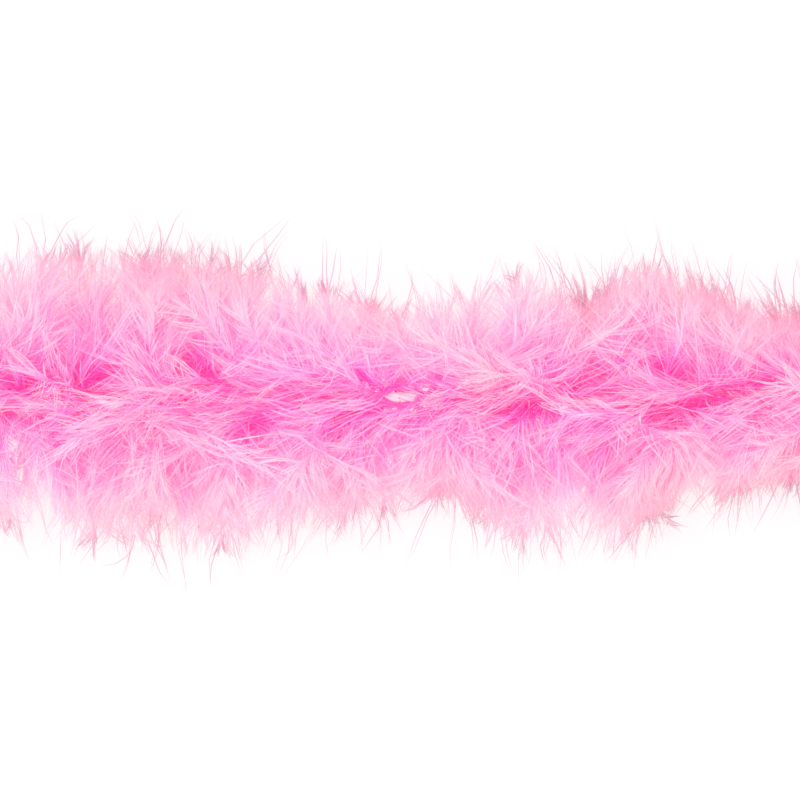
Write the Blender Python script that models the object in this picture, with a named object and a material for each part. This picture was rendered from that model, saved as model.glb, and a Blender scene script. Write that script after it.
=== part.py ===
"""Feather boa: downy plumes stitched all round a soft core cord.

The boa lies on a flat surface as a long open loop. Its front run is straight, each end turns back
through half a circle, and the two knotted ends point at each other along the back.
It is cut into short lengths, which hinge on each other as stand-ins for the bending of the cord.
Each length has a piece of cord, the thread stitched round it, and tufts of plumes.
Frame: origin under the middle of the loop, on the surface; +X along the front run, +Y to the back.
"""

import math

import bmesh
import bpy
from mathutils import Matrix, Vector

# Cord and its route, in metres. "Reach" is the distance along the cord from the middle of the front run.
CORD_REACH = 0.860
CORD_RADIUS = 0.002
CORD_HEIGHT = 0.0475
CORD_BEVEL_RESOLUTION = 2
FRONT_HALF = 0.250
TURN_RADIUS = 0.155
CORD_STEP = 0.012
# Domed end of a cord: distance from its tip and radius there, as shares of the cord's radius
CORD_DOME = ((0.0, 0.30), (0.12, 0.55), (0.40, 0.84), (1.0, 1.0))

# Lengths that hinge on each other
FIRST_HINGE = 0.080
HINGE_PITCH = 0.160
HINGES_PER_SIDE = 5
LARGEST_BEND = math.radians(45)
TOUCHING_GAP = 0.0003

# Tufts: a ring of quill ends round the cord, with plumes that lean along it by turns
PLUME_REACH = 0.0545
PLUMES_PER_TUFT = 8
TUFT_PITCH = 0.050
END_TUFT_PITCH = 0.040
END_TUFT_SETBACK = 0.030
RING_INNER_RADIUS = 0.0033
RING_OUTER_RADIUS = 0.0055
RING_WIDTH = 0.004
PLUME_LEAN = 0.015
LEAN_NEAR_HINGE = 0.003
LEAN_PAST_END = 0.030
LEAN_CURVE = 1.4
# Share of the plume's length, full width, thickness. Each width fits its wedge, so neighbours never cross.
PLUME_OUTLINE = ((0.30, 0.016, 0.0022), (0.66, 0.030, 0.0020), (1.00, 0.013, 0.0014))

# Stitching thread, wound round the cord as an open helix
THREAD_RADIUS = 0.00035
THREAD_PITCH = 0.025
THREAD_STEPS_PER_TURN = 8
THREAD_MARGIN = 0.004
THREAD_BEVEL_RESOLUTION = 0

# Ends: whipped with thread, then knotted
WHIPPING_LENGTH = 0.010
WHIPPING_RADIUS = 0.0030
WHIPPING_TURNS = 5
WHIPPING_SIDES = 16
KNOT_RADIUS = 0.0045
KNOT_STRETCH = (1.15, 1.0, 0.92)
KNOT_SEGMENTS = 16
KNOT_RINGS = 10

PLUME_COLOUR = (0.93, 0.42, 0.72)
CORD_COLOUR = (0.90, 0.78, 0.74)
THREAD_COLOUR = (0.86, 0.36, 0.62)


def clear_scene():
    for item in list(bpy.data.objects):
        bpy.data.objects.remove(item, do_unlink=True)


def material(name, colour, roughness):
    """One sub-part's own material."""
    made = bpy.data.materials.new(name)
    made.use_nodes = True
    shader = made.node_tree.nodes["Principled BSDF"]
    shader.inputs["Base Color"].default_value = (*colour, 1.0)
    shader.inputs["Roughness"].default_value = roughness
    shader.inputs["Metallic"].default_value = 0.0
    return made


def add_object(name, data, colour, roughness):
    item = bpy.data.objects.new(name, data)
    bpy.context.scene.collection.objects.link(item)
    data_is_shared = data.users > 1
    if not data_is_shared:
        data.materials.append(None)
    item.material_slots[0].link = "OBJECT"
    item.material_slots[0].material = material(name, colour, roughness)
    return item


def route(reach, side):
    """Point on the cord's centre line, and the level direction away from the middle of the front run."""
    turn_length = math.pi * TURN_RADIUS
    if reach <= FRONT_HALF:
        heading = 0.0
        x, y = reach, 0.0
    elif reach <= FRONT_HALF + turn_length:
        heading = (reach - FRONT_HALF) / TURN_RADIUS
        x = FRONT_HALF + TURN_RADIUS * math.sin(heading)
        y = TURN_RADIUS * (1.0 - math.cos(heading))
    else:
        heading = math.pi
        x = FRONT_HALF - (reach - FRONT_HALF - turn_length)
        y = 2.0 * TURN_RADIUS
    point = Vector((side * x, y - TURN_RADIUS, CORD_HEIGHT))
    outward = Vector((side * math.cos(heading), math.sin(heading), 0.0))
    return point, outward


def route_along(position):
    """Point and direction for a signed distance along the cord, going left to right, negative on the left."""
    side = 1.0 if position >= 0.0 else -1.0
    point, outward = route(abs(position), side)
    return point, side * outward


def standing_matrix(reach, side):
    """Frame on the cord: local X runs outward along it, and local Z is up."""
    point, outward = route(reach, side)
    across = Vector((0.0, 0.0, 1.0)).cross(outward)
    turned = Matrix((outward, across, (0.0, 0.0, 1.0))).transposed().to_4x4()
    return Matrix.Translation(point) @ turned


def poly_curve(name, points, radii, depth, resolution):
    """A tube with filled ends along the points, each with its own share of the radius."""
    curve = bpy.data.curves.new(name, "CURVE")
    curve.dimensions = "3D"
    curve.bevel_depth = depth
    curve.bevel_resolution = resolution
    curve.use_fill_caps = True
    spline = curve.splines.new("POLY")
    spline.points.add(len(points) - 1)
    for knot, point, radius in zip(spline.points, points, radii):
        knot.co = (*point, 1.0)
        knot.radius = radius
    return curve


def cord_end(tip, inward, domed):
    """Stations from the cord's tip inwards, as (signed distance along the cord, share of the radius)."""
    if not domed:
        return [(tip, 1.0)]
    return [(tip + inward * share * CORD_RADIUS, size) for share, size in CORD_DOME]


def add_cord(name, start, end, start_domed, end_domed):
    first = cord_end(start, 1.0, start_domed)
    last = cord_end(end, -1.0, end_domed)
    inner_start, inner_end = first[-1][0], last[-1][0]
    steps = round((inner_end - inner_start) / CORD_STEP)
    middle = [(inner_start + (inner_end - inner_start) * i / steps, 1.0) for i in range(1, steps)]
    stations = first + middle + last[::-1]
    points = [route_along(at)[0] for at, _ in stations]
    curve = poly_curve(name, points, [size for _, size in stations], CORD_RADIUS, CORD_BEVEL_RESOLUTION)
    return add_object(name, curve, CORD_COLOUR, 0.75)


def add_thread(name, start, end):
    """The stitching thread: an open helix that lies just clear of the cord."""
    winding_radius = CORD_RADIUS + TOUCHING_GAP + THREAD_RADIUS
    turns = (end - start) / THREAD_PITCH
    steps = round(turns * THREAD_STEPS_PER_TURN)
    up = Vector((0.0, 0.0, 1.0))
    points = []
    for i in range(steps + 1):
        position = start + (end - start) * i / steps
        centre, onward = route_along(position)
        across = up.cross(onward)
        angle = 2.0 * math.pi * turns * i / steps
        points.append(centre + winding_radius * (math.cos(angle) * up + math.sin(angle) * across))
    curve = poly_curve(name, points, [1.0] * len(points), THREAD_RADIUS, THREAD_BEVEL_RESOLUTION)
    return add_object(name, curve, THREAD_COLOUR, 0.6)


def plume_sections(angle, lean):
    """Corners of the plume's sections, from just past the ring to its tip.

    The plume points out from the cord at the angle. It widens, narrows and curls along the cord.
    """
    out = Vector((0.0, math.cos(angle), math.sin(angle)))
    sideways = Vector((0.0, -math.sin(angle), math.cos(angle)))
    for share, width, thickness in PLUME_OUTLINE:
        centre = (RING_OUTER_RADIUS + share * (PLUME_REACH - RING_OUTER_RADIUS)) * out
        centre.x = lean * share**LEAN_CURVE
        half_thickness = Vector((thickness / 2.0, 0.0, 0.0))
        half_width = width / 2.0 * sideways
        yield (
            centre - half_thickness - half_width,
            centre - half_thickness + half_width,
            centre + half_thickness + half_width,
            centre + half_thickness - half_width,
        )


def tuft_mesh(name, lean_inward, lean_outward):
    """A ring of quill ends with plumes all round it. Even plumes lean outward, odd ones inward.

    The plume that points straight down is cut level where it meets the surface.
    """
    bm = bmesh.new()
    half_step = math.pi / PLUMES_PER_TUFT
    corner_radius = RING_OUTER_RADIUS / math.cos(half_step)
    rings = []
    for i in range(PLUMES_PER_TUFT):
        angle = -math.pi / 2.0 + (2 * i - 1) * half_step
        direction = Vector((0.0, math.cos(angle), math.sin(angle)))
        rings.append([
            bm.verts.new(direction * radius + Vector((along, 0.0, 0.0)))
            for radius in (RING_INNER_RADIUS, corner_radius)
            for along in (-RING_WIDTH / 2.0, RING_WIDTH / 2.0)
        ])
    for i in range(PLUMES_PER_TUFT):
        inner_back, inner_front, outer_back, outer_front = rings[i]
        ahead = rings[(i + 1) % PLUMES_PER_TUFT]
        far_inner_back, far_inner_front, far_outer_back, far_outer_front = ahead
        bm.faces.new((inner_back, far_inner_back, far_inner_front, inner_front))
        bm.faces.new((inner_back, outer_back, far_outer_back, far_inner_back))
        bm.faces.new((inner_front, far_inner_front, far_outer_front, outer_front))
        loop = [outer_back, far_outer_back, far_outer_front, outer_front]
        lean = lean_outward if i % 2 == 0 else -lean_inward
        for corners in plume_sections(-math.pi / 2.0 + 2 * i * half_step, lean):
            ahead = [bm.verts.new(corner) for corner in corners]
            for j in range(4):
                bm.faces.new((loop[j], loop[(j + 1) % 4], ahead[(j + 1) % 4], ahead[j]))
            loop = ahead
        bm.faces.new(loop)
    cut = bmesh.ops.bisect_plane(
        bm,
        geom=list(bm.verts) + list(bm.edges) + list(bm.faces),
        plane_co=(0.0, 0.0, -CORD_HEIGHT),
        plane_no=(0.0, 0.0, -1.0),
        clear_outer=True,
    )
    rim = [item for item in cut["geom_cut"] if isinstance(item, bmesh.types.BMEdge)]
    bmesh.ops.edgenet_fill(bm, edges=rim)
    bmesh.ops.recalc_face_normals(bm, faces=list(bm.faces))
    mesh = bpy.data.meshes.new(name)
    bm.to_mesh(mesh)
    bm.free()
    mesh.materials.append(None)
    return mesh


def add_tuft(name, mesh, reach, side):
    tuft = add_object(name, mesh, PLUME_COLOUR, 0.9)
    tuft.matrix_world = standing_matrix(reach, side)
    return tuft


def turned_mesh(name, profile, sides):
    """A closed profile of (along, radius) points turned round the local X axis into a ring."""
    bm = bmesh.new()
    loops = []
    for i in range(sides):
        angle = 2.0 * math.pi * i / sides
        out = Vector((0.0, math.cos(angle), math.sin(angle)))
        loops.append([bm.verts.new(radius * out + Vector((along, 0.0, 0.0))) for along, radius in profile])
    for i in range(sides):
        here, ahead = loops[i], loops[(i + 1) % sides]
        for j in range(len(profile)):
            k = (j + 1) % len(profile)
            bm.faces.new((here[j], here[k], ahead[k], ahead[j]))
    bmesh.ops.recalc_face_normals(bm, faces=list(bm.faces))
    mesh = bpy.data.meshes.new(name)
    bm.to_mesh(mesh)
    bm.free()
    mesh.shade_smooth()
    return mesh


def whipping_mesh():
    """Thread wound tightly round the cord: a sleeve with one ridge for each turn."""
    inner = CORD_RADIUS + TOUCHING_GAP
    groove = WHIPPING_RADIUS - THREAD_RADIUS
    pitch = WHIPPING_LENGTH / WHIPPING_TURNS
    profile = [(0.0, inner), (0.0, groove)]
    for i in range(WHIPPING_TURNS):
        profile.append(((i + 0.5) * pitch, WHIPPING_RADIUS))
        profile.append(((i + 1.0) * pitch, groove))
    profile.append((WHIPPING_LENGTH, inner))
    return turned_mesh("whipping", profile, WHIPPING_SIDES)


def knot_mesh():
    """The knot at the end of the cord, as one rounded body a little longer than it is wide."""
    bm = bmesh.new()
    bmesh.ops.create_uvsphere(bm, u_segments=KNOT_SEGMENTS, v_segments=KNOT_RINGS, radius=KNOT_RADIUS)
    bmesh.ops.rotate(bm, verts=bm.verts, matrix=Matrix.Rotation(math.pi / 2.0, 3, "Y"))
    bmesh.ops.scale(bm, verts=bm.verts, vec=KNOT_STRETCH)
    mesh = bpy.data.meshes.new("knot")
    bm.to_mesh(mesh)
    bm.free()
    mesh.shade_smooth()
    return mesh


def build_lengths():
    """The middle length, then the lengths on each side, each between its two hinges."""
    hinge_setback = CORD_RADIUS / math.cos(LARGEST_BEND / 2.0) + TOUCHING_GAP / 2.0 - CORD_RADIUS
    thread_end = CORD_REACH - WHIPPING_LENGTH - THREAD_MARGIN
    between = tuft_mesh("tuft_between", PLUME_LEAN, PLUME_LEAN)
    after_hinge = tuft_mesh("tuft_after_hinge", LEAN_NEAR_HINGE, PLUME_LEAN)
    before_hinge = tuft_mesh("tuft_before_hinge", PLUME_LEAN, LEAN_NEAR_HINGE)
    at_end = tuft_mesh("tuft_at_end", PLUME_LEAN, LEAN_PAST_END)

    add_cord("core_cord_middle", -FIRST_HINGE + hinge_setback, FIRST_HINGE - hinge_setback, True, True)
    add_thread("stitch_thread_middle", -FIRST_HINGE + THREAD_MARGIN, FIRST_HINGE - THREAD_MARGIN)
    add_tuft("plume_tuft_middle_a", before_hinge, TUFT_PITCH, -1.0)
    add_tuft("plume_tuft_middle_b", between, 0.0, 1.0)
    add_tuft("plume_tuft_middle_c", before_hinge, TUFT_PITCH, 1.0)

    for side_name, side in (("left", -1.0), ("right", 1.0)):
        for number in range(1, HINGES_PER_SIDE + 1):
            place = f"{side_name}_{number}"
            near = FIRST_HINGE + (number - 1) * HINGE_PITCH
            is_last = number == HINGES_PER_SIDE
            far = CORD_REACH if is_last else near + HINGE_PITCH
            cord_far = far if is_last else far - hinge_setback
            if side > 0.0:
                add_cord(f"core_cord_{place}", near + hinge_setback, cord_far, True, not is_last)
            else:
                add_cord(f"core_cord_{place}", -cord_far, -near - hinge_setback, not is_last, True)
            thread_far = thread_end if is_last else far - THREAD_MARGIN
            thread_ends = sorted((side * (near + THREAD_MARGIN), side * thread_far))
            add_thread(f"stitch_thread_{place}", *thread_ends)
            pitch = END_TUFT_PITCH if is_last else TUFT_PITCH
            first = near + END_TUFT_SETBACK
            meshes = (after_hinge, between, at_end if is_last else before_hinge)
            for letter, mesh, step in zip("abc", meshes, range(3)):
                add_tuft(f"plume_tuft_{place}_{letter}", mesh, first + step * pitch, side)


def build_ends():
    """The whipping and the knot at each end of the cord."""
    whipping = whipping_mesh()
    knot = knot_mesh()
    knot_reach = CORD_REACH + TOUCHING_GAP + KNOT_STRETCH[0] * KNOT_RADIUS
    for side_name, side in (("left", -1.0), ("right", 1.0)):
        for name, mesh, colour, reach in (
            ("end_whipping", whipping, THREAD_COLOUR, CORD_REACH - WHIPPING_LENGTH - TOUCHING_GAP),
            ("end_knot", knot, CORD_COLOUR, knot_reach),
        ):
            item = add_object(f"{name}_{side_name}", mesh, colour, 0.7)
            item.matrix_world = standing_matrix(reach, side)


clear_scene()
build_lengths()
build_ends()
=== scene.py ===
import math
from collections import namedtuple

import bpy
import numpy as np
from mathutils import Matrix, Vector


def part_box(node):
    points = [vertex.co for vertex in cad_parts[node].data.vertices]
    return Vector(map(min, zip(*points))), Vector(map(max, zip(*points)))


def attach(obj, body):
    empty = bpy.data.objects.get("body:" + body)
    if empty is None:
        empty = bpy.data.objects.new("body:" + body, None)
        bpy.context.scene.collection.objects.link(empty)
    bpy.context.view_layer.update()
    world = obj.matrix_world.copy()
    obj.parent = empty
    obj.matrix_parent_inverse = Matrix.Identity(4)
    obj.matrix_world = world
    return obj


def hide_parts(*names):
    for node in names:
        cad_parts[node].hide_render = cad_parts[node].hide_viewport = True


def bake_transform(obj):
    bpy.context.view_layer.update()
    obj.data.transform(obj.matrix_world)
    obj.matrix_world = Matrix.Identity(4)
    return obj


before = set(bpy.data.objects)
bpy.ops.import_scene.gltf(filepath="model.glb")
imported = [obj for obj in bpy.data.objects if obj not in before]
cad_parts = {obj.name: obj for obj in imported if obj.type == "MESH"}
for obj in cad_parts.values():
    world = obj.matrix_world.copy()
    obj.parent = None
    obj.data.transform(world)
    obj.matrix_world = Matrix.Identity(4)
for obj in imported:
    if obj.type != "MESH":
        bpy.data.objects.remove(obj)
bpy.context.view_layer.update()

# Route of the cord, read from the CAD boxes. A "position" is the signed distance along the cord from the
# middle of the front run, negative on the left. "Inside" is towards the middle of the loop.

middle_low, middle_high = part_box("core_cord_middle")
_, turn_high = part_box("core_cord_right_3")
last_low, last_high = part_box("core_cord_right_5")
CORD_RADIUS = (middle_high.y - middle_low.y) / 2.0
CORD_HEIGHT = (middle_low.z + middle_high.z) / 2.0
FRONT_Y = (middle_low.y + middle_high.y) / 2.0
TURN_RADIUS = (last_high.y - CORD_RADIUS - FRONT_Y) / 2.0
FRONT_HALF = turn_high.x - CORD_RADIUS - TURN_RADIUS
TURN_LENGTH = math.pi * TURN_RADIUS
CORD_REACH = 2.0 * FRONT_HALF + TURN_LENGTH - last_low.x

HINGES_PER_SIDE = 5
FIRST_HINGE = middle_high.x
HINGE_PITCH = 2.0 * FIRST_HINGE


def route(position):
    """Points on the cord's centre line, and its level directions there."""
    position = np.asarray(position, float)
    side = np.where(position >= 0.0, 1.0, -1.0)
    reach = np.abs(position)
    heading = np.clip((reach - FRONT_HALF) / TURN_RADIUS, 0.0, math.pi)
    back_run = np.maximum(reach - FRONT_HALF - TURN_LENGTH, 0.0)
    x = side * (np.minimum(reach, FRONT_HALF) + TURN_RADIUS * np.sin(heading) - back_run)
    y = FRONT_Y + TURN_RADIUS * (1.0 - np.cos(heading))
    point = np.stack([x, y, np.full_like(x, CORD_HEIGHT)], axis=-1)
    onward = np.stack([np.cos(heading), side * np.sin(heading), np.zeros_like(x)], axis=-1)
    return point, onward


def to_world(place):
    """World points for coordinates round the cord: position, distance to the inside, distance up."""
    point, onward = route(place[..., 0])
    inward = np.stack([-onward[..., 1], onward[..., 0], np.zeros_like(onward[..., 0])], axis=-1)
    moved = point + place[..., 1:2] * inward
    moved[..., 2] += place[..., 2]
    return moved


def smooth(x):
    x = np.clip(x, 0.0, 1.0)
    return x * x * (3.0 - 2.0 * x)


def unit(vectors):
    return vectors / np.maximum(np.linalg.norm(vectors, axis=-1, keepdims=True), 1e-9)


# Camera: straight above the front run, with a long lens

VIEW_WIDTH = 0.305
CAMERA_HEIGHT = 2.2
SENSOR = 36.0

camera_data = bpy.data.cameras.new("camera")
camera_data.sensor_width = SENSOR
camera_data.lens = SENSOR * (CAMERA_HEIGHT - CORD_HEIGHT) / VIEW_WIDTH
camera_data.clip_start = 0.05
camera = bpy.data.objects.new("camera", camera_data)
bpy.context.scene.collection.objects.link(camera)
camera.location = (0.0, FRONT_Y - 0.001, CAMERA_HEIGHT)
bpy.context.scene.camera = camera

# Materials

UV_NAME = "OFBake"
SHADES = 64

# Dyed down, from the core to the tips, in linear colour: a warm pink and a cool one. The deeper pink
# towards the core is partly the dye and partly painted shade of the depths of the down.
WARM_DOWN = (
    (0.00, (1.0, 0.15, 0.58)), (0.25, (1.0, 0.55, 0.79)), (0.50, (1.0, 0.71, 0.80)),
    (0.76, (0.98, 0.73, 0.73)), (0.89, (0.80, 0.62, 0.68)), (1.00, (0.50, 0.42, 0.48)),
)
COOL_DOWN = (
    (0.00, (1.0, 0.15, 0.68)), (0.25, (1.0, 0.55, 0.86)), (0.50, (1.0, 0.71, 0.83)),
    (0.76, (0.98, 0.73, 0.80)), (0.89, (0.80, 0.62, 0.73)), (1.00, (0.50, 0.42, 0.50)),
)
# A guess: a little glow stands in for the many bounces of light inside real down
DOWN_GLOW = (1.0, 0.10, 0.36, 1.0)
DOWN_GLOW_STRENGTH = 0.36
DOWN_TRANSLUCENCE = 0.6
SHAFT_COLOURS = (
    (0.00, (0.97, 0.40, 0.66)), (0.50, (0.98, 0.52, 0.72)), (1.00, (0.97, 0.60, 0.74)),
)
CORD_COLOURS = (
    (0.00, (0.93, 0.64, 0.68)), (0.50, (0.95, 0.70, 0.73)), (1.00, (0.97, 0.76, 0.78)),
)
THREAD_COLOURS = (
    (0.00, (0.86, 0.12, 0.42)), (0.50, (0.92, 0.20, 0.52)), (1.00, (0.96, 0.32, 0.62)),
)


def new_material(name):
    material = bpy.data.materials.new(name)
    material.use_nodes = True
    tree = material.node_tree
    return material, tree, tree.nodes["Principled BSDF"]


def add_ramp(tree, factor, stops):
    node = tree.nodes.new("ShaderNodeValToRGB")
    elements = node.color_ramp.elements
    elements[0].position, elements[1].position = stops[0][0], stops[-1][0]
    elements[0].color, elements[1].color = (*stops[0][1], 1.0), (*stops[-1][1], 1.0)
    for position, colour in stops[1:-1]:
        elements.new(position).color = (*colour, 1.0)
    tree.links.new(factor, node.inputs["Fac"])
    return node.outputs["Color"]


def down_material():
    """Dyed down. Across the UV map the shade goes from warm to cool, and up it from core to tips; the deeper
    pink at the core is partly painted shade.
    """
    material, tree, shader = new_material("down")
    place = tree.nodes.new("ShaderNodeUVMap")
    place.uv_map = UV_NAME
    parts = tree.nodes.new("ShaderNodeSeparateXYZ")
    tree.links.new(place.outputs["UV"], parts.inputs[0])
    mix = tree.nodes.new("ShaderNodeMix")
    mix.data_type = "RGBA"
    tree.links.new(parts.outputs["X"], mix.inputs["Factor"])
    tree.links.new(add_ramp(tree, parts.outputs["Y"], WARM_DOWN), mix.inputs["A"])
    tree.links.new(add_ramp(tree, parts.outputs["Y"], COOL_DOWN), mix.inputs["B"])
    colour = mix.outputs["Result"]
    shader.inputs["Roughness"].default_value = 0.7
    shader.inputs["Specular IOR Level"].default_value = 0.2
    shader.inputs["Emission Color"].default_value = DOWN_GLOW
    shader.inputs["Emission Strength"].default_value = DOWN_GLOW_STRENGTH
    tree.links.new(colour, shader.inputs["Base Color"])
    glow = tree.nodes.new("ShaderNodeBsdfTranslucent")
    tree.links.new(colour, glow.inputs["Color"])
    both = tree.nodes.new("ShaderNodeMixShader")
    both.inputs["Fac"].default_value = DOWN_TRANSLUCENCE
    tree.links.new(shader.outputs[0], both.inputs[1])
    tree.links.new(glow.outputs[0], both.inputs[2])
    tree.links.new(both.outputs[0], tree.nodes["Material Output"].inputs["Surface"])
    return material


def fibre_material(name, stops, scale, roughness, bump):
    """Fibres that run along a tube, mottled lighter and darker."""
    material, tree, shader = new_material(name)
    place = tree.nodes.new("ShaderNodeTexCoord")
    stretch = tree.nodes.new("ShaderNodeMapping")
    stretch.inputs["Scale"].default_value = (scale, scale * 3.0, scale * 3.0)
    tree.links.new(place.outputs["Object"], stretch.inputs["Vector"])
    noise = tree.nodes.new("ShaderNodeTexNoise")
    noise.inputs["Scale"].default_value = 1.0
    noise.inputs["Detail"].default_value = 4.0
    noise.inputs["Roughness"].default_value = 0.7
    tree.links.new(stretch.outputs["Vector"], noise.inputs["Vector"])
    tree.links.new(add_ramp(tree, noise.outputs["Fac"], stops), shader.inputs["Base Color"])
    relief = tree.nodes.new("ShaderNodeBump")
    relief.inputs["Strength"].default_value = 0.6
    relief.inputs["Distance"].default_value = bump
    tree.links.new(noise.outputs["Fac"], relief.inputs["Height"])
    tree.links.new(relief.outputs["Normal"], shader.inputs["Normal"])
    shader.inputs["Roughness"].default_value = roughness
    shader.inputs["Sheen Weight"].default_value = 0.3
    return material


DOWN = down_material()
SHAFT = fibre_material("shaft", SHAFT_COLOURS, 400.0, 0.45, 0.00004)
COTTON = fibre_material("cotton", CORD_COLOURS, 1400.0, 0.9, 0.0002)
THREAD = fibre_material("thread", THREAD_COLOURS, 2500.0, 0.6, 0.00006)

# Meshes


def add_piece(name, verts, loops, sizes, uv, material):
    mesh = bpy.data.meshes.new(name)
    mesh.vertices.add(len(verts))
    mesh.vertices.foreach_set("co", verts.astype(np.float32).ravel())
    mesh.loops.add(len(loops))
    mesh.loops.foreach_set("vertex_index", loops.astype(np.int32))
    mesh.polygons.add(len(sizes))
    starts = np.concatenate([[0], np.cumsum(sizes)[:-1]])
    mesh.polygons.foreach_set("loop_start", starts.astype(np.int32))
    layer = mesh.uv_layers.new(name=UV_NAME)
    layer.data.foreach_set("uv", uv.astype(np.float32).ravel())
    mesh.update(calc_edges=True)
    mesh.shade_smooth()
    mesh.materials.append(material)
    piece = bpy.data.objects.new(name, mesh)
    bpy.context.scene.collection.objects.link(piece)
    return piece


def ribbons(random, points, width, shade, pale):
    """Thin tapering ribbons that end in a point, one along each row of points."""
    rows, columns = points.shape[:2]
    forward = np.gradient(points, axis=1)
    sideways = unit(np.cross(forward, unit(random.normal(size=(rows, 1, 3)))))
    taper = 1.0 - np.linspace(0.0, 1.0, columns) ** 3
    half = 0.5 * width[:, None, None] * taper[None, :, None] * sideways
    left = points[:, :-1] - half[:, :-1]
    right = points[:, :-1] + half[:, :-1]
    edges = np.stack([left, right], axis=2).reshape(rows, -1, 3)
    verts = np.concatenate([edges, points[:, -1:]], axis=1)
    per_row = verts.shape[1]
    pattern = [2 * i + k for i in range(columns - 2) for k in (0, 1, 3, 2)]
    pattern = np.array(pattern + [per_row - 3, per_row - 2, per_row - 1])
    loops = (pattern[None, :] + per_row * np.arange(rows)[:, None]).ravel()
    sizes = np.tile([4] * (columns - 2) + [3], rows)
    across = np.concatenate([np.tile([0.1, 0.9], columns - 1), [0.5]])
    up = np.concatenate([np.repeat(pale[:, :-1], 2, axis=1), pale[:, -1:]], axis=1)
    u = np.broadcast_to((shade[:, None] + across[None, :]) / SHADES, up.shape)
    uv = np.stack([u, up], axis=-1).reshape(-1, 2)[loops]
    return verts.reshape(-1, 3), loops, sizes, uv


def join(first, second):
    verts, loops, sizes, uv = first
    return (
        np.concatenate([verts, second[0]]),
        np.concatenate([loops, second[1] + len(verts)]),
        np.concatenate([sizes, second[2]]),
        np.concatenate([uv, second[3]]),
    )


def tubes(paths, radii, across, sides):
    """Tubes along rows of points. "across" holds a direction for each point that the path never follows."""
    rows, columns = paths.shape[:2]
    forward = unit(np.gradient(paths, axis=1))
    first = unit(np.cross(forward, across))
    second = np.cross(forward, first)
    turn = 2.0 * math.pi * np.arange(sides) / sides
    ring = np.cos(turn)[:, None] * first[:, :, None] + np.sin(turn)[:, None] * second[:, :, None]
    verts = (paths[:, :, None] + radii[:, :, None, None] * ring).reshape(-1, 3)
    quads = np.array([
        (i * sides + j, i * sides + (j + 1) % sides, (i + 1) * sides + (j + 1) % sides, (i + 1) * sides + j)
        for i in range(columns - 1) for j in range(sides)
    ])
    caps = np.array([range(sides - 1, -1, -1), range((columns - 1) * sides, columns * sides)])
    offset = (columns * sides * np.arange(rows))[:, None]
    loops = np.concatenate([(quads.ravel() + offset), (caps.ravel() + offset)], axis=1).ravel()
    sizes = np.tile([4] * len(quads) + [sides] * 2, rows)
    corner = np.tile([0, 1, 1, 0], len(quads))
    column = np.tile(np.repeat(np.arange(sides), 4), columns - 1)
    u = corner / sides + column / sides
    v = (np.repeat(np.arange(columns - 1), 4 * sides) + np.tile([0, 0, 1, 1], len(quads))) / (columns - 1)
    cap_u = np.tile(0.5 + 0.5 * np.cos(turn), 2)
    cap_v = np.repeat([0.001, 0.999], sides)
    u, v = np.concatenate([u, cap_u]), np.concatenate([v, cap_v])
    strip = (np.arange(rows)[:, None] + 0.05 + 0.9 * u[None, :]) / rows
    uv = np.stack([strip, np.broadcast_to(0.01 + 0.98 * v, strip.shape)], axis=-1).reshape(-1, 2)
    return verts, loops, sizes, uv


# Plumes

PLUMES_PER_METRE = 1000
SHAFT_POINTS = 9
# A plume that leans flatter would run far along the cord before it stands out to its reach
FLATTEST_LEAN = math.radians(88.0)
LONGEST_SHAFT = 0.090
SHAFT_RADII = (0.00032, 0.00006)
# Quills are drawn in by these factors before the test against the window, so they stay well clear of it
QUILL_CLEARANCE = (0.6, 0.5, 1.0)
# For each kind of barb: how many a plume has, how many gather in a lock, points along it, width, greatest
# length, opening from the shaft near its root and near its tip, straying from the plume's plane (in degrees),
# and how far it may stand out beyond the rest
BarbKind = namedtuple("BarbKind", "count gather columns width longest root_opening tip_opening stray free")
UNDER_BARBS = BarbKind(60, 3, 4, 0.00050, 0.032, 56.0, 42.0, 60.0, 0.0)
OVER_BARBS = BarbKind(126, 7, 5, 0.00023, 0.042, 48.0, 32.0, 40.0, 0.006)
WISPS = BarbKind(8, 2, 5, 0.00046, 0.060, 34.0, 10.0, 50.0, 0.026)
# How strongly the barbs of a lock draw together at their tips
LOCK_PULL = 0.88
# The plumes lean one way and then the other along the cord, over this length
BUNCH = 0.17
RIPPLE = 0.0010
RIPPLE_SEED = 5
# Share of the plumes that stand out beyond the rest as locks, and how far at most
BOLD_SHARE = 0.22
BOLD_REACH = 0.011
# A factor on the reaches below, set by comparing the outline with the photograph
SPREAD = 1.09
LARGEST_REACH = 0.072
# The window over the middle of the front run, where the cord shows, in the terms of a crevice
WINDOW = (0.0, 0.0, 0.0060, 0.0023, 0.0)
# Crevices in the top of the seen run: position, distance to the inside, half length, half width, and
# turn from along the cord, in degrees
CREVICES = (
    (-0.146, 0.005, 0.009, 0.0028, 5.0), (-0.114, 0.009, 0.006, 0.0030, 20.0),
    (-0.074, 0.011, 0.008, 0.0032, -50.0), (-0.056, -0.011, 0.009, 0.0042, 45.0),
    (-0.023, -0.011, 0.009, 0.0042, 30.0), (-0.012, 0.006, 0.007, 0.0022, -45.0),
    (0.012, 0.005, 0.005, 0.0022, 45.0), (0.046, -0.006, 0.007, 0.0032, 10.0),
    (0.103, 0.011, 0.009, 0.0034, -10.0), (0.105, -0.006, 0.011, 0.0044, 25.0),
    (0.122, 0.001, 0.007, 0.0034, 20.0), (0.140, 0.006, 0.006, 0.0024, 30.0),
)
# Height over the cord that a crevice is cut down to, and the share of barbs that cross it anyway
CREVICE_FLOOR = 0.013
CREVICE_CROSSERS = 0.12
# Where the down is a deeper pink: position, distance to the inside, radius, how much
TONES = (
    (-0.140, -0.028, 0.026, 0.06), (0.125, -0.022, 0.020, 0.08), (0.070, -0.026, 0.014, 0.06),
)
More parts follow.
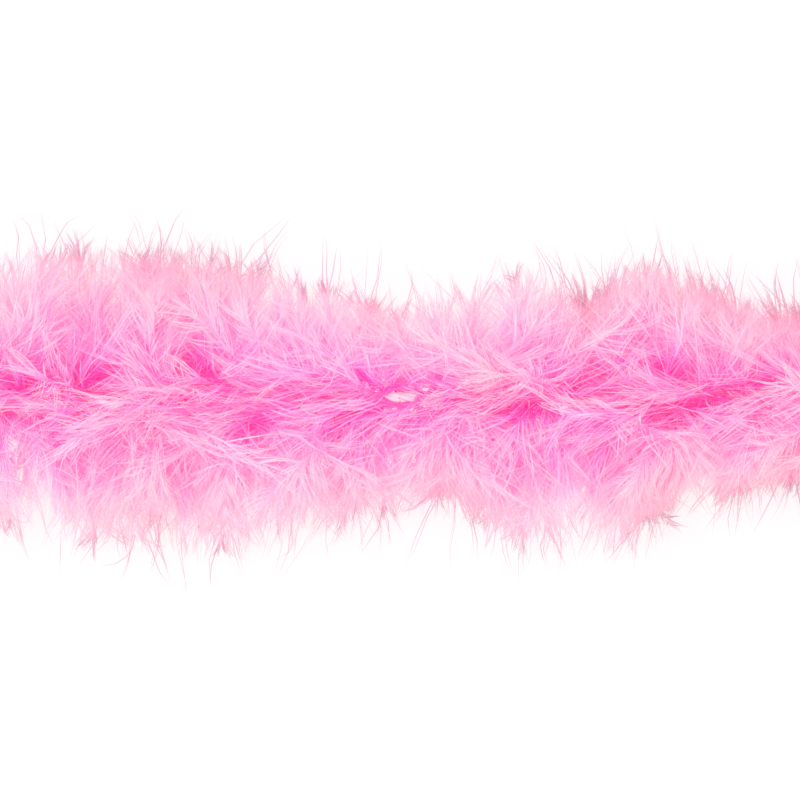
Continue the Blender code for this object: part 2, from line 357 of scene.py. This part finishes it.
# How far the down stands out along the seen run: position, reach
INSIDE_REACH = (
    (-0.160, 0.048), (-0.140, 0.054), (-0.114, 0.052), (-0.076, 0.052), (-0.050, 0.046), (-0.020, 0.038),
    (0.000, 0.033), (0.030, 0.038), (0.040, 0.045), (0.053, 0.047), (0.062, 0.038), (0.070, 0.033),
    (0.078, 0.038), (0.086, 0.048), (0.093, 0.050), (0.107, 0.045), (0.122, 0.038), (0.137, 0.033),
    (0.152, 0.030), (0.170, 0.038),
)
OUTSIDE_REACH = (
    (-0.160, 0.054), (-0.130, 0.055), (-0.114, 0.053), (-0.076, 0.055), (-0.057, 0.056), (-0.038, 0.050),
    (-0.019, 0.045), (0.000, 0.042), (0.015, 0.037), (0.027, 0.043), (0.046, 0.054), (0.061, 0.056),
    (0.072, 0.052), (0.082, 0.056), (0.092, 0.047), (0.103, 0.041), (0.114, 0.038), (0.126, 0.036),
    (0.141, 0.032), (0.152, 0.030), (0.170, 0.040),
)


def reach_beside(position, seen, phase):
    """How far the down stands out to one side: as seen in the middle, and with gentle lumps elsewhere."""
    lumps = 0.047 + 0.0045 * np.sin(position * 61.0 + phase) + 0.003 * np.sin(position * 137.0 + 2.0 * phase)
    by_hand = np.interp(position, *np.array(seen).T)
    seen_share = smooth((0.20 - np.abs(position)) / 0.04)
    return SPREAD * (seen_share * by_hand + (1.0 - seen_share) * lumps)


def envelope(position, angle):
    """How far the down stands out from the cord, at an angle from straight up, positive to the inside."""
    inside = reach_beside(position, INSIDE_REACH, 0.4)
    outside = reach_beside(position, OUTSIDE_REACH, 2.1)
    beside = np.where(np.sin(angle) > 0.0, inside, outside)
    above = 0.034 + 0.003 * np.sin(position * 83.0)
    level = np.sin(angle) ** 2
    return level * beside + (1.0 - level) * np.where(np.cos(angle) > 0.0, above, CORD_HEIGHT)


def plume_shafts(random, low, high):
    """Shafts of the plumes rooted between two positions: rows of points round the cord."""
    count = round(PLUMES_PER_METRE * (high - low))
    root = low + (high - low) * (np.arange(count) + random.random(count)) / count
    side = np.where(random.random(count) < 0.5, 1.0, -1.0)
    kind = random.random(count)
    over, under = kind < 0.26, kind > 0.90
    start = np.where(over, random.uniform(-12.0, 50.0, count), random.uniform(30.0, 160.0, count))
    end = 90.0 + 0.45 * (start - 90.0) + random.normal(0.0, 9.0, count)
    end = np.where(over, random.uniform(5.0, 75.0, count), end)
    end = np.where(under, random.uniform(110.0, 165.0, count), end)
    start, end = np.radians(side * start), np.radians(side * end)
    away = 0.85 * np.sin(2.0 * math.pi * root / BUNCH) + random.normal(0.0, 0.5, count)
    either = np.where(random.random(count) < 0.5, 0.9, -0.9) + 0.6 * away
    away = np.clip(np.where(over, either, away), -1.0, 1.0)
    lean_start = np.radians(random.normal(64.0, 9.0, count))
    lean_end = np.radians(np.where(over, random.normal(64.0, 9.0, count), random.normal(10.0, 15.0, count)))
    share = np.linspace(0.0, 1.0, SHAFT_POINTS)
    lean = lean_end[:, None] + (lean_start - lean_end)[:, None] * (1.0 - share) ** 2
    lean = np.minimum(lean, FLATTEST_LEAN)
    outward = np.cumsum(np.cos(lean), axis=1) - np.cos(lean[:, :1])
    along = np.cumsum(np.sin(lean), axis=1) - np.sin(lean[:, :1])
    over_target = random.uniform(0.30, 0.75, count)
    other_target = random.uniform(0.58, 0.96, count)
    target = envelope(root, end) * np.where(over, over_target, other_target)
    scale = (target - CORD_RADIUS) / outward[:, -1]
    scale = np.minimum(scale, LONGEST_SHAFT / (SHAFT_POINTS - 1))[:, None]
    reach = CORD_RADIUS + outward * scale
    position = root[:, None] + along * scale * away[:, None]
    angle = start[:, None] + (end - start)[:, None] * smooth(share * 1.3)
    return np.stack([position, reach * np.sin(angle), reach * np.cos(angle)], axis=-1)


def along_shaft(shafts, plume, share):
    """Points on the shafts, and the directions there."""
    spot = np.clip(share, 0.0, 0.9999) * (SHAFT_POINTS - 1)
    index = spot.astype(int)
    near, far = shafts[plume, index], shafts[plume, index + 1]
    return near + (far - near) * (spot - index)[:, None], unit(far - near)


def ripple(random, points, amount):
    """Shifts points by a smooth random field, so that neighbouring barbs gather into locks."""
    shift = np.zeros_like(points)
    for _ in range(7):
        wave = unit(random.normal(size=3)) * 2.0 * math.pi / random.uniform(0.016, 0.045)
        shift += np.sin(points @ wave + random.uniform(0.0, 6.3))[..., None] * random.normal(0.0, 0.38, 3)
    return points + amount * shift


def by_lock(random, total, gather, deviation):
    """Random values, the same for all barbs of a lock."""
    return np.repeat(random.normal(0.0, deviation, total // gather), gather)


def barbs(random, shafts, kind):
    """Barbs of one kind on both sides of every shaft: their points, plume, and share along the shaft."""
    gather, columns = kind.gather, kind.columns
    plumes = len(shafts)
    total = plumes * kind.count
    plume = np.repeat(np.arange(plumes), kind.count)
    order = np.tile(np.arange(kind.count), plumes)
    half = kind.count // 2
    side = np.where(order < half, 1.0, -1.0)
    share = 0.02 + 0.98 * (order % half + random.random(total)) / half
    base, forward = along_shaft(shafts, plume, share)
    sideways = unit(np.cross(forward, unit(random.normal(size=(plumes, 3)))[plume]))
    upward = np.cross(sideways, forward)
    spread = np.radians(by_lock(random, total, gather, kind.stray) + random.normal(0.0, 12.0, total))
    outward = (side * np.cos(spread))[:, None] * sideways + np.sin(spread)[:, None] * upward
    opening = kind.root_opening + (kind.tip_opening - kind.root_opening) * share
    opening = np.radians(opening + by_lock(random, total, gather, 12.0) + random.normal(0.0, 5.0, total))
    length = kind.longest * random.uniform(0.75, 1.0, plumes)[plume] * (1.0 - 0.28 * share)
    length *= np.repeat(random.uniform(0.7, 1.15, total // gather), gather) * random.uniform(0.8, 1.0, total)
    along = np.linspace(0.0, 1.0, columns)
    angle = opening[:, None] * (1.0 - 0.35 * along)
    step = 1.0 / (columns - 1)
    ahead = (np.cumsum(np.cos(angle), axis=1) - np.cos(angle[:, :1])) * step
    aside = (np.cumsum(np.sin(angle), axis=1) - np.sin(angle[:, :1])) * step
    path = ahead[..., None] * forward[:, None] + aside[..., None] * outward[:, None]
    bend = np.repeat(random.normal(0.0, 0.13, (total // gather, 1, 3)), gather, axis=0)
    path += (along**2)[None, :, None] * (bend + random.normal(0.0, 0.05, (total, 1, 3)))
    points = base[:, None] + path * length[:, None, None]
    locks = points.reshape(-1, gather, columns, 3)
    locks += LOCK_PULL * (along**1.5)[:, None] * (locks.mean(axis=1, keepdims=True) - locks)
    return points, plume, share


def shorten(points, ends, free):
    """Shortens each barb to end under the envelope, at its own share of the way out, or beyond it if free."""
    root, tip = points[:, 0], points[:, -1]
    near, far = np.hypot(root[:, 1], root[:, 2]), np.hypot(tip[:, 1], tip[:, 2])
    limit = envelope(tip[:, 0], np.arctan2(tip[:, 1], tip[:, 2])) * ends + free
    kept = np.clip((limit - near) / np.maximum(far - near, 1e-6), 0.25, 1.0)
    kept = np.where(far > limit, kept, 1.0)
    return points[:, :1] + (points - points[:, :1]) * kept[:, None, None]


def keep_inside(points, free):
    """Presses points back under the envelope, with room for free barbs, and up off the surface below.

    It returns how full the envelope is at each point: 1 at its surface.
    """
    reach = np.hypot(points[..., 1], points[..., 2])
    surface = envelope(points[..., 0], np.arctan2(points[..., 1], points[..., 2]))
    limit = np.minimum(surface + free[:, None], LARGEST_REACH)
    full = reach / limit
    knee, room = 0.94, 0.12
    pressed = np.where(full > knee, knee + room * (1.0 - np.exp((knee - full) / room)), full)
    points[..., 1:] *= (pressed / np.maximum(full, 1e-6))[..., None]
    floor, soft = 0.0005 - CORD_HEIGHT, 0.006
    sunk = np.minimum(points[..., 2] - floor - soft, 0.0)
    points[..., 2] = np.where(sunk < 0.0, floor + soft * np.exp(sunk / soft), points[..., 2])
    return pressed * limit / surface


def open_parting(points):
    """Parts the down above the cord, widest where the cord shows at the middle of the front run."""
    position = points[..., 0]
    width = 0.0036 * np.exp(-((position / 0.0070) ** 2))
    width *= smooth((points[..., 2] + 0.001) / 0.003)
    side = np.where(points[..., 1] >= 0.0, 1.0, -1.0)
    points[..., 1] = side * np.hypot(points[..., 1], width)
    return points


def within(points, place, grown=1.0):
    """Which points lie over an oval round the cord's top: 1 at its middle, 0 at its edge."""
    position, inside, half_length, half_width, turn = place
    away = points[..., :2] - (position, inside)
    turn = math.radians(turn)
    along = away[..., 0] * math.cos(turn) + away[..., 1] * math.sin(turn)
    across = away[..., 1] * math.cos(turn) - away[..., 0] * math.sin(turn)
    return 1.0 - np.hypot(along / (half_length * grown), across / (half_width * grown))


def clear_rows(points, places, height):
    """Which rows stay clear of every place, above a height."""
    steps = np.linspace(0.0, 1.0, 4)[:-1, None, None, None]
    between = points[:, :-1] + (points[:, 1:] - points[:, :-1]) * steps
    finer = np.concatenate([*between, points[:, -1:]], axis=1)
    clear = np.ones(len(points), bool)
    for place in places:
        clear &= ~((within(finer, place) > 0.0) & (finer[..., 2] > height)).any(axis=1)
    return clear


def warmth(place):
    """How much warmer the colour is made: warmest low on the outside, away from the middle."""
    return smooth(-place[..., 1] / 0.02) * smooth((np.abs(place[..., 0]) - 0.05) / 0.04)


def down_mesh(random, shafts, kind):
    """Barbs of one kind on all shafts, trimmed to the envelope, parted and coloured, as one mesh."""
    points, plume, share = barbs(random, shafts, kind)
    total, columns = points.shape[:2]
    gather = kind.gather
    locks = total // gather
    points = ripple(np.random.default_rng(RIPPLE_SEED), points, RIPPLE)
    bold = np.where(random.random(len(shafts)) < BOLD_SHARE, BOLD_REACH * random.random(len(shafts)), 0.0)
    free = kind.free * np.repeat(random.random(locks) ** 1.5, gather) + bold[plume]
    points = shorten(points, np.repeat(random.uniform(0.88, 1.08, locks), gather), free)
    full = keep_inside(points, free)
    points = open_parting(points)
    tone = random.normal(0.0, 0.06, len(shafts))[plume] + by_lock(random, total, gather, 0.025)
    # Paler further out in the down and along each barb: the deeper pink deep inside is partly painted shade
    # of the depths
    pale = 0.74 * full**1.3 + 0.17 * np.linspace(0.0, 1.0, columns)[None, :] + (0.08 * share + tone)[:, None]
    # Painted shade: the down in and round each crevice is made a deeper pink
    for crevice in CREVICES:
        pale -= 0.2 * smooth(within(points, crevice, 2.0))
    for position, inside, radius, depth in TONES:
        away = points[..., :2] - (position, inside)
        pale -= depth * np.exp(-(away**2).sum(axis=-1) / radius**2)
    beside = np.abs(points[..., 1]) / np.hypot(points[..., 1], points[..., 2])
    tip = smooth((beside - 0.75) / 0.15) * smooth((full - 0.80) / 0.16)
    pale = np.minimum(pale, 0.76) + 0.22 * tip
    cool = random.random(len(shafts)) * (1.0 - 0.7 * warmth(shafts[:, -1]))
    shade = np.floor(cool * SHADES)[plume]
    width = kind.width * random.uniform(0.7, 1.3, total)
    if kind is WISPS:
        width *= 0.5 + 0.5 * smooth((beside[:, -1] - 0.6) / 0.3)
    kept = clear_rows(points, (WINDOW,), 0.0)
    crossers = random.random(total) < CREVICE_CROSSERS
    kept &= clear_rows(points, CREVICES, CREVICE_FLOOR) | crossers
    pale = np.clip(pale, 0.01, 0.99)
    return ribbons(random, to_world(points[kept]), width[kept], shade[kept], pale[kept])


def add_down(name, low, high, seed):
    random = np.random.default_rng(seed)
    shafts = plume_shafts(random, low, high)
    under, over, wisps = (down_mesh(random, shafts, kind) for kind in (UNDER_BARBS, OVER_BARBS, WISPS))
    quills = open_parting(shafts.copy())
    clear = clear_rows(quills * QUILL_CLEARANCE, (WINDOW,), 0.0)
    clear &= clear_rows(quills, CREVICES, CREVICE_FLOOR)
    quills = to_world(quills[clear])
    radii = np.broadcast_to(np.linspace(*SHAFT_RADII, SHAFT_POINTS), quills.shape[:2])
    across = np.broadcast_to(unit(random.normal(size=(len(quills), 1, 3))), quills.shape)
    return (
        add_piece(f"down_{name}", *join(join(under, over), wisps), DOWN),
        add_piece(f"shafts_{name}", *tubes(quills, radii, across, 4), SHAFT),
    )


# Cord, thread and ends

PLIES = 3
PLY_RADIUS = 0.00105
PLY_PITCH = 0.020
THREAD_RADIUS = 0.00035
THREAD_PITCH = 0.025
WHIPPING_PITCH = 2.1 * THREAD_RADIUS
WIND_STEP = 0.0009
KNOT_SIZE = 0.0021
KNOT_THICKNESS = 0.0012
KNOT_STRAND = 0.0013
TAIL_STRANDS = 90
TAIL_LENGTH = 0.009
UPWARD = (0.0, 0.0, 1.0)


def centre_line(low, high, step):
    return route(np.linspace(low, high, max(8, round((high - low) / step))))[0]


def wind(line, radius, pitch, phase, across):
    """Points wound round a line. "across" is a direction that the line never follows."""
    forward = unit(np.gradient(line, axis=0))
    first = unit(np.cross(forward, across))
    second = np.cross(forward, first)
    length = np.concatenate([[0.0], np.cumsum(np.linalg.norm(np.diff(line, axis=0), axis=1))])
    turn = (2.0 * math.pi * length / pitch + phase)[:, None]
    return line + radius * (np.cos(turn) * first + np.sin(turn) * second), forward


def wound_piece(name, line, radius, strand_radius, pitch, strands, across, material, phase=0.0, sides=8):
    """Strands of thread or cord wound round a line, as one piece."""
    wound = [wind(line, radius, pitch, phase + 2.0 * math.pi * i / strands, across) for i in range(strands)]
    paths, forwards = np.array([w[0] for w in wound]), np.array([w[1] for w in wound])
    radii = np.full(paths.shape[:2], strand_radius)
    return add_piece(name, *tubes(paths, radii, forwards, sides), material)


def add_cord(name, low, high):
    line = centre_line(low, high, WIND_STEP)
    phase = 2.0 * math.pi * low / PLY_PITCH
    winding = (CORD_RADIUS - PLY_RADIUS, PLY_RADIUS, PLY_PITCH, PLIES, UPWARD)
    return wound_piece(f"cord_{name}", line, *winding, COTTON, phase, 10)


def declare_cord(cord, low, high, far_end, with_pieces=()):
    """Works out the centre line of a length of the core cord, from the end nearer the boa's middle, and does
    nothing more with it.
    """
    line = centre_line(low, high, WIND_STEP)
    if low < 0.0:
        line = line[::-1]


def add_thread(name, low, high, pitch=THREAD_PITCH, step=WIND_STEP):
    line = centre_line(low, high, step)
    phase = 2.0 * math.pi * low / pitch
    winding = (CORD_RADIUS + THREAD_RADIUS, THREAD_RADIUS, pitch, 1, UPWARD)
    return wound_piece(f"thread_{name}", line, *winding, THREAD, phase)


def add_knot(name, centre):
    """An overhand knot, drawn tight: a cord that follows a trefoil, seen along the cord it is tied in."""
    turn = np.linspace(0.0, 2.0 * math.pi, 121)
    arm = KNOT_SIZE + KNOT_THICKNESS * np.cos(3.0 * turn)
    along = KNOT_THICKNESS * np.sin(3.0 * turn)
    line = np.stack([along, arm * np.cos(2.0 * turn), arm * np.sin(2.0 * turn)], axis=1)
    ply = 0.55 * KNOT_STRAND
    return wound_piece(
        f"knot_{name}", line + centre, KNOT_STRAND - ply, ply, PLY_PITCH, PLIES, unit(line), COTTON
    )


def add_tail(name, low, high, seed):
    """Frayed strands past the knot, from its position to the tail's end."""
    random = np.random.default_rng(seed)
    share = np.linspace(0.0, 1.0, 5)[None, :, None]
    scatter = random.normal(0.0, 0.0007, (TAIL_STRANDS, 2))
    start = np.concatenate([np.full((TAIL_STRANDS, 1), low), scatter], axis=1)
    scatter = random.normal(0.0, 0.0024, (TAIL_STRANDS, 2))
    sway = np.concatenate([np.zeros((TAIL_STRANDS, 1)), scatter], axis=1)
    length = (high - low) * random.uniform(0.6, 1.0, TAIL_STRANDS)
    run = np.stack([length, np.zeros(TAIL_STRANDS), np.zeros(TAIL_STRANDS)], axis=1)
    points = start[:, None] + run[:, None] * share + sway[:, None] * share**2
    pale = np.broadcast_to(share[..., 0], points.shape[:2])
    width = np.full(TAIL_STRANDS, 0.0003)
    shade = random.integers(0, SHADES, TAIL_STRANDS)
    return add_piece(f"tail_{name}", *ribbons(random, to_world(points), width, shade, pale), COTTON)


def add_end(name, side, seed):
    """The end of the cord: whipped, knotted and frayed."""
    whipping_low, whipping_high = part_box(f"end_whipping_{name}")
    knot_low, knot_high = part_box(f"end_knot_{name}")
    back_start = 2.0 * FRONT_HALF + TURN_LENGTH
    nearer, farther = sorted(back_start - abs(x) for x in (whipping_low.x, whipping_high.x))
    whipping = add_thread(f"end_whipping_{name}", *span(side, nearer, farther), WHIPPING_PITCH, 0.00006)
    knot = add_knot(name, np.array((knot_low + knot_high) / 2.0))
    knot_end = back_start - min(abs(knot_low.x), abs(knot_high.x))
    tail = add_tail(name, side * (knot_end - 0.001), side * (knot_end + TAIL_LENGTH), seed)
    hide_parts(f"end_whipping_{name}")
    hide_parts(f"end_knot_{name}")
    return {"thread": (whipping,), "cord": (knot, tail)}


# The boa's pieces: each spans one hinge, from the middle of one length to the middle of the next


def span(side, near, far):
    return sorted((side * near, side * far))


def add_run(name, low, high, seed):
    """The pieces of one run of the boa, by slot."""
    down, shafts = add_down(name, low, high, seed)
    cord = add_cord(name, low, high)
    thread = add_thread(name, low, high)
    return {"plume": (down, shafts), "cord": (cord,), "thread": (thread,)}


for side_name, side in (("left", -1.0), ("right", 1.0)):
    for number in range(1, HINGES_PER_SIDE + 1):
        hinge = FIRST_HINGE + (number - 1) * HINGE_PITCH
        place = f"{side_name}_{number}"
        low, high = span(side, hinge - HINGE_PITCH / 2.0, hinge + HINGE_PITCH / 2.0)
        run = add_run(place, low, high, 10 * number + (side > 0))
        for slot, pieces in run.items():
            for piece in pieces:
                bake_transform(piece)
        declare_cord(*run["cord"], low, high, "object")
    low, high = span(side, FIRST_HINGE + (HINGES_PER_SIDE - 0.5) * HINGE_PITCH, CORD_REACH)
    run = add_run(f"end_{side_name}", low, high, 90 + (side > 0))
    ending = add_end(side_name, side, 95 + (side > 0))
    for group in (run, ending):
        for slot, pieces in group.items():
            for piece in pieces:
                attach(piece, f"{side_name}_{HINGES_PER_SIDE}")
    declare_cord(*run["cord"], low, high, "knot", ending["cord"])

FAMILIES = {"plume_tuft": "down", "core_cord": "cord", "stitch_thread": "thread"}
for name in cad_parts:
    for family, stand in FAMILIES.items():
        if name.startswith(family):
            place = name[len(family) + 1:].split("_")
            place = "right_1" if place[0] == "middle" else "_".join(place[:2])
            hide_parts(name)

# Stage

floor_mesh = bpy.data.meshes.new("floor")
FLOOR_HALF = 6.0
corners = [(x * FLOOR_HALF, y * FLOOR_HALF, 0.0) for x, y in ((-1, -1), (1, -1), (1, 1), (-1, 1))]
floor_mesh.from_pydata(corners, [], [(0, 1, 2, 3)])
floor_material, _, floor_shader = new_material("floor")
floor_shader.inputs["Base Color"].default_value = (0.2, 0.2, 0.2, 1.0)
floor_shader.inputs["Roughness"].default_value = 0.9
floor_shader.inputs["Specular IOR Level"].default_value = 0.0
floor_shader.inputs["Emission Color"].default_value = (1.0, 1.0, 1.0, 1.0)
floor_shader.inputs["Emission Strength"].default_value = 0.72
floor_mesh.materials.append(floor_material)
floor = bpy.data.objects.new("floor", floor_mesh)
bpy.context.scene.collection.objects.link(floor)

world = bpy.data.worlds.new("studio")
world.use_nodes = True
world.node_tree.nodes["Background"].inputs["Color"].default_value = (1.0, 1.0, 1.0, 1.0)
world.node_tree.nodes["Background"].inputs["Strength"].default_value = 1.3
bpy.context.scene.world = world

key_data = bpy.data.lights.new("key", "AREA")
key_data.shape = "DISK"
key_data.size = 0.9
key_data.energy = 32.0
key = bpy.data.objects.new("key", key_data)
bpy.context.scene.collection.objects.link(key)
key.location = (-0.25, 0.0, 2.5)
key.rotation_euler = (Vector((0.0, FRONT_Y, 0.0)) - key.location).to_track_quat("-Z", "Y").to_euler()

bpy.context.scene.view_settings.view_transform = "Standard"
